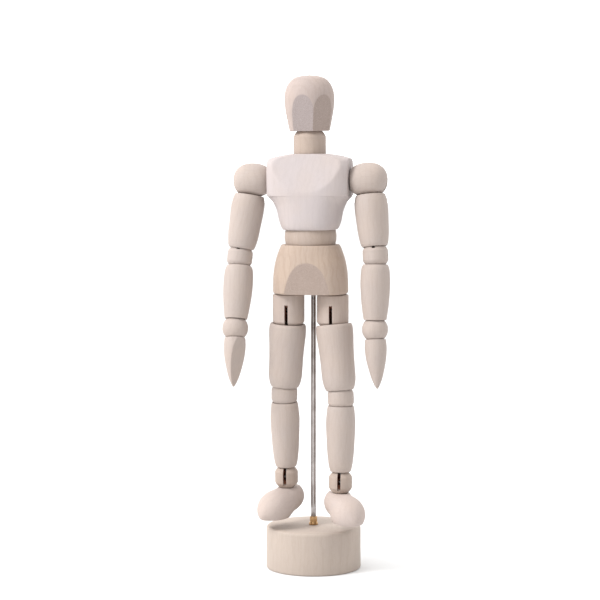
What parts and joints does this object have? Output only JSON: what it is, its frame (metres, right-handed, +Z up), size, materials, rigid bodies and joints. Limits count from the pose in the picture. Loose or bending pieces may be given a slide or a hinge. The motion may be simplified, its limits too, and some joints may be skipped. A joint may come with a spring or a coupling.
{
  "type": "artist mannequin",
  "caption": "Jointed wooden artist figure on a round base: turned limbs, bead joints with slots, faceted head, chest and pelvis, thin steel support rod.",
  "frame": {"origin": "centre of the underside of the round base", "axes": "+Z up along the support rod; the figure faces -Y, turned a little towards -X on its rod; right_ pieces are the figure's own right, at -X"},
  "size_m": [0.0469, 0.0322, 0.1401],
  "materials": {
    "pale_wood": "bare, finely sanded, almost white",
    "warm_wood": "bare, finely sanded",
    "tan_wood": "bare, finely sanded",
    "limb_wood": "bare, finely sanded",
    "stand_wood": "bare, finely sanded",
    "polished_steel": "polished",
    "spring_steel": "drawn wire",
    "brass": "satin"
  },
  "bodies": {
    "stand": {"base": "stand_wood", "support_rod": "polished_steel", "rod_ferrule": "brass"},
    "pelvis": {"pelvis": "warm_wood", "waist_peg": "spring_steel", "right_hip_peg": "spring_steel", "left_hip_peg": "spring_steel"},
    "waist": {"waist": "tan_wood"},
    "chest": {"chest": "pale_wood", "chest_link": "spring_steel", "shoulder_spring": "spring_steel", "neck_peg": "spring_steel"},
    "neck": {"neck": "tan_wood"},
    "head": {"head": "tan_wood", "head_link": "spring_steel"},
    "right_shoulder": {"right_shoulder": "limb_wood"},
    "right_upper_arm": {"right_upper_arm": "limb_wood", "right_arm_spring": "spring_steel"},
    "right_elbow": {"right_elbow": "limb_wood", "right_elbow_pin": "spring_steel"},
    "right_forearm": {"right_forearm": "limb_wood", "right_forearm_spring": "spring_steel"},
    "right_wrist": {"right_wrist": "limb_wood"},
    "right_hand": {"right_hand": "limb_wood", "right_hand_link": "spring_steel"},
    "right_hip": {"right_hip": "tan_wood", "right_hip_pin": "spring_steel"},
    "right_thigh": {"right_thigh": "limb_wood", "right_thigh_spring": "spring_steel"},
    "right_knee": {"right_knee": "limb_wood", "right_knee_pin": "spring_steel"},
    "right_shin": {"right_shin": "limb_wood", "right_shin_spring": "spring_steel"},
    "right_ankle": {"right_ankle": "tan_wood", "right_ankle_pin": "spring_steel"},
    "right_foot": {"right_foot": "limb_wood", "right_foot_peg": "spring_steel"},
    "left_shoulder": {"left_shoulder": "limb_wood"},
    "left_upper_arm": {"left_upper_arm": "limb_wood", "left_arm_spring": "spring_steel"},
    "left_elbow": {"left_elbow": "limb_wood", "left_elbow_pin": "spring_steel"},
    "left_forearm": {"left_forearm": "limb_wood", "left_forearm_spring": "spring_steel"},
    "left_wrist": {"left_wrist": "limb_wood"},
    "left_hand": {"left_hand": "limb_wood", "left_hand_link": "spring_steel"},
    "left_hip": {"left_hip": "tan_wood", "left_hip_pin": "spring_steel"},
    "left_thigh": {"left_thigh": "limb_wood", "left_thigh_spring": "spring_steel"},
    "left_knee": {"left_knee": "limb_wood", "left_knee_pin": "spring_steel"},
    "left_shin": {"left_shin": "limb_wood", "left_shin_spring": "spring_steel"},
    "left_ankle": {"left_ankle": "tan_wood", "left_ankle_pin": "spring_steel"},
    "left_foot": {"left_foot": "limb_wood", "left_foot_peg": "spring_steel"}
  },
  "joints": [
    {"name": "figure_turn", "type": "hinge", "parent": "stand", "child": "pelvis", "pos_m": [0, 0, 0], "axis": [0, 0, 1], "continuous": true},
    {"name": "waist_turn", "type": "hinge", "parent": "pelvis", "child": "waist", "pos_m": [-0.00082, -0.00392, 0.095], "axis": [0, 0, 1], "range_deg": [-60, 60]},
    {"name": "chest_bend", "type": "hinge", "parent": "waist", "child": "chest", "pos_m": [-0.00082, -0.00392, 0.095], "axis": [0.9799, -0.1994, 0.0087], "range_deg": [-20, 25]},
    {"name": "neck_turn", "type": "hinge", "parent": "chest", "child": "neck", "pos_m": [-0.00105, -0.00388, 0.1211], "axis": [-0.0086, 0.0014, 1], "continuous": true},
    {"name": "head_nod", "type": "hinge", "parent": "neck", "child": "head", "pos_m": [-0.00105, -0.00388, 0.1211], "axis": [0.9862, 0.1651, 0.0083], "range_deg": [-24, 24]},
    {"name": "right_shoulder_swing", "type": "hinge", "parent": "chest", "child": "right_shoulder", "pos_m": [-0.01737, -0.00056, 0.11065], "axis": [-0.9799, 0.1994, -0.0087], "continuous": true},
    {"name": "right_arm_raise", "type": "hinge", "parent": "right_shoulder", "child": "right_upper_arm", "pos_m": [-0.01737, -0.00056, 0.11065], "axis": [0.1989, 0.9725, -0.1215], "range_deg": [-2, 75]},
    {"name": "right_elbow_bend", "type": "hinge", "parent": "right_upper_arm", "child": "right_elbow", "pos_m": [-0.02077, -0.00255, 0.08911], "axis": [-0.975, 0.2089, 0.0761], "range_deg": [0, 48]},
    {"name": "right_forearm_turn", "type": "hinge", "parent": "right_elbow", "child": "right_forearm", "pos_m": [-0.02077, -0.00255, 0.08911], "axis": [-0.0601, -0.1994, -0.9781], "range_deg": [-90, 90]},
    {"name": "right_wrist_turn", "type": "hinge", "parent": "right_forearm", "child": "right_wrist", "pos_m": [-0.02199, -0.00658, 0.06935], "axis": [-0.0421, -0.2205, -0.9745], "range_deg": [-90, 90]},
    {"name": "right_hand_bend", "type": "hinge", "parent": "right_wrist", "child": "right_hand", "pos_m": [-0.02199, -0.00658, 0.06935], "axis": [-0.9813, 0.191, -0.0232], "range_deg": [-27, 27]},
    {"name": "right_hip_turn", "type": "hinge", "parent": "pelvis", "child": "right_hip", "pos_m": [-0.00705, -0.00293, 0.0741], "axis": [0, 0, -1], "range_deg": [-30, 15]},
    {"name": "right_leg_swing", "type": "hinge", "parent": "right_hip", "child": "right_thigh", "pos_m": [-0.00705, -0.00293, 0.0741], "axis": [-0.986, 0.1562, 0.0576], "range_deg": [-20, 70]},
    {"name": "right_knee_turn", "type": "hinge", "parent": "right_thigh", "child": "right_knee", "pos_m": [-0.00828, -0.00189, 0.0501], "axis": [-0.0142, 0.0552, -0.9984], "range_deg": [-30, 30]},
    {"name": "right_knee_bend", "type": "hinge", "parent": "right_knee", "child": "right_shin", "pos_m": [-0.00828, -0.00189, 0.0501], "axis": [0.9871, -0.1594, 0.0121], "range_deg": [0, 56]},
    {"name": "right_ankle_bend", "type": "hinge", "parent": "right_shin", "child": "right_ankle", "pos_m": [-0.00773, -0.00029, 0.02621], "axis": [-0.9873, 0.1587, -0.0017], "range_deg": [-20, 24]},
    {"name": "right_foot_turn", "type": "hinge", "parent": "right_ankle", "child": "right_foot", "pos_m": [-0.00773, -0.00029, 0.02621], "axis": [-0.0004, 0.053, -0.9986], "range_deg": [-30, 45]},
    {"name": "left_shoulder_swing", "type": "hinge", "parent": "chest", "child": "left_shoulder", "pos_m": [0.01545, -0.00724, 0.11095], "axis": [-0.9799, 0.1994, -0.0087], "continuous": true},
    {"name": "left_arm_raise", "type": "hinge", "parent": "left_shoulder", "child": "left_upper_arm", "pos_m": [0.01545, -0.00724, 0.11095], "axis": [-0.1989, -0.9725, 0.1215], "range_deg": [-2, 75]},
    {"name": "left_elbow_bend", "type": "hinge", "parent": "left_upper_arm", "child": "left_elbow", "pos_m": [0.01722, -0.01021, 0.09003], "axis": [-0.9794, 0.193, -0.0589], "range_deg": [0, 48]},
    {"name": "left_forearm_turn", "type": "hinge", "parent": "left_elbow", "child": "left_forearm", "pos_m": [0.01722, -0.01021, 0.09003], "axis": [0.0054, 0.0697, 0.9976], "range_deg": [-90, 90]},
    {"name": "left_wrist_turn", "type": "hinge", "parent": "left_forearm", "child": "left_wrist", "pos_m": [0.01711, -0.01165, 0.06948], "axis": [-0.0151, 0.0916, 0.9957], "range_deg": [-90, 90]},
    {"name": "left_hand_bend", "type": "hinge", "parent": "left_wrist", "child": "left_hand", "pos_m": [0.01711, -0.01165, 0.06948], "axis": [-0.9793, 0.194, -0.0573], "range_deg": [-27, 27]},
    {"name": "left_hip_turn", "type": "hinge", "parent": "pelvis", "child": "left_hip", "pos_m": [0.0054, -0.0049, 0.0741], "axis": [0, 0, 1], "range_deg": [-30, 30]},
    {"name": "left_leg_swing", "type": "hinge", "parent": "left_hip", "child": "left_thigh", "pos_m": [0.0054, -0.0049, 0.0741], "axis": [-0.9823, 0.1556, -0.1045], "range_deg": [-20, 70]},
    {"name": "left_knee_turn", "type": "hinge", "parent": "left_thigh", "child": "left_knee", "pos_m": [0.00766, -0.007, 0.04969], "axis": [-0.0448, 0.0512, 0.9977], "range_deg": [-30, 30]},
    {"name": "left_knee_bend", "type": "hinge", "parent": "left_knee", "child": "left_shin", "pos_m": [0.00766, -0.007, 0.04969], "axis": [0.9867, -0.1623, 0.0002], "range_deg": [0, 56]},
    {"name": "left_ankle_bend", "type": "hinge", "parent": "left_shin", "child": "left_ankle", "pos_m": [0.0076, -0.00741, 0.0258], "axis": [-0.9867, 0.1623, -0.0002], "range_deg": [-20, 24]},
    {"name": "left_foot_turn", "type": "hinge", "parent": "left_ankle", "child": "left_foot", "pos_m": [0.0076, -0.00741, 0.0258], "axis": [-0.0002, -0.0003, 1], "range_deg": [-30, 45]}
  ]
}
